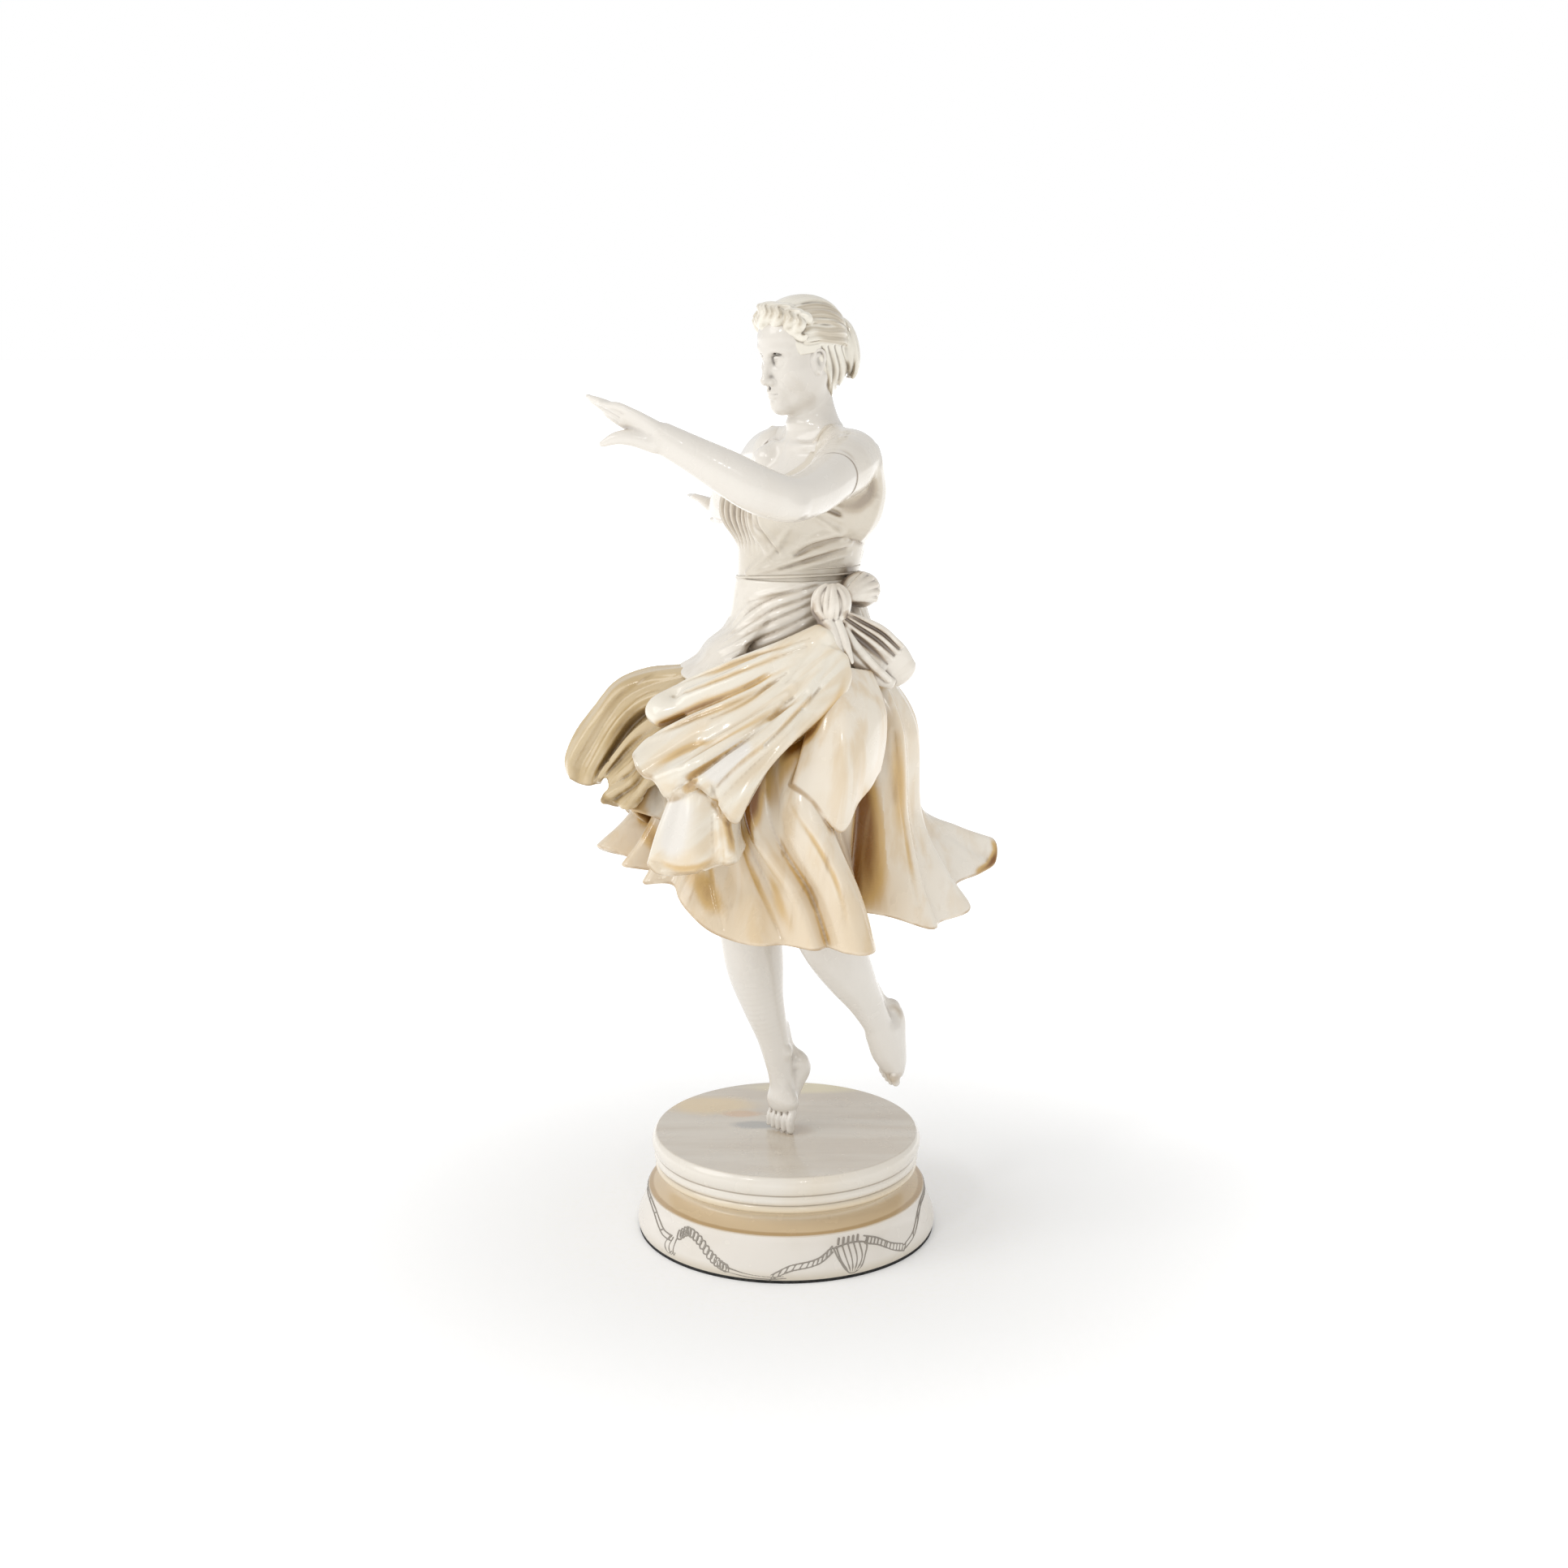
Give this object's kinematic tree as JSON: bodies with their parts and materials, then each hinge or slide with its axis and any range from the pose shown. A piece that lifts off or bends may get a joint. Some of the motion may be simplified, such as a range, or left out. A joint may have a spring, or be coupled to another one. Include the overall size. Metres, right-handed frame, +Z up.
{
  "type": "porcelain figurine",
  "caption": "Porcelain dancer on tiptoe in a draped, wind-blown skirt with a bow at the hip and arms outstretched, on a round moulded socle.",
  "frame": {"origin": "centre of the felt's underside, on the socle's axis", "axes": "+Z up the socle's axis, -Y towards the side the figure is shown from"},
  "size_m": [0.1405, 0.1952, 0.3],
  "materials": {
    "skin_white": "white porcelain under clear glaze",
    "dress_ivory": "ivory glaze, greyer in the folds",
    "skirt_cream": "cream glaze pooling to honey in the folds",
    "hair_ivory": "ivory glaze over tooled hair",
    "socle_white": "off-white glaze with fine grey lines",
    "socle_honey": "honey-coloured glaze",
    "steel": "zinc plated",
    "cement": "cast plaster cement",
    "cork": "pressed cork",
    "felt": "black felt"
  },
  "bodies": {
    "root": {"socle_drum": "socle_white", "socle_neck": "socle_honey", "stand_disc": "socle_white", "felt_pad": "felt", "socle_stud": "steel", "stud_cement": "cement", "cork_washer": "cork", "steel_washer": "steel", "hex_nut": "steel", "right_leg": "skin_white", "left_leg": "skin_white", "underskirt": "skirt_cream", "skirt_floor": "skirt_cream", "overskirt": "skirt_cream", "skirt_pipe": "skirt_cream", "rear_flare": "skirt_cream", "flying_sash": "skirt_cream", "hip_wrap": "dress_ivory", "bodice": "dress_ivory", "back_drape": "dress_ivory", "waist_cord": "dress_ivory", "bow_knot": "dress_ivory", "bow_upper_loop": "dress_ivory", "bow_lower_loop": "dress_ivory", "bow_tail": "dress_ivory", "left_arm": "skin_white", "left_hand": "skin_white", "right_arm": "skin_white", "right_hand": "skin_white", "head": "skin_white", "hair_cap": "hair_ivory", "fringe_curls": "hair_ivory", "hair_bun": "hair_ivory"}
  },
  "joints": []
}
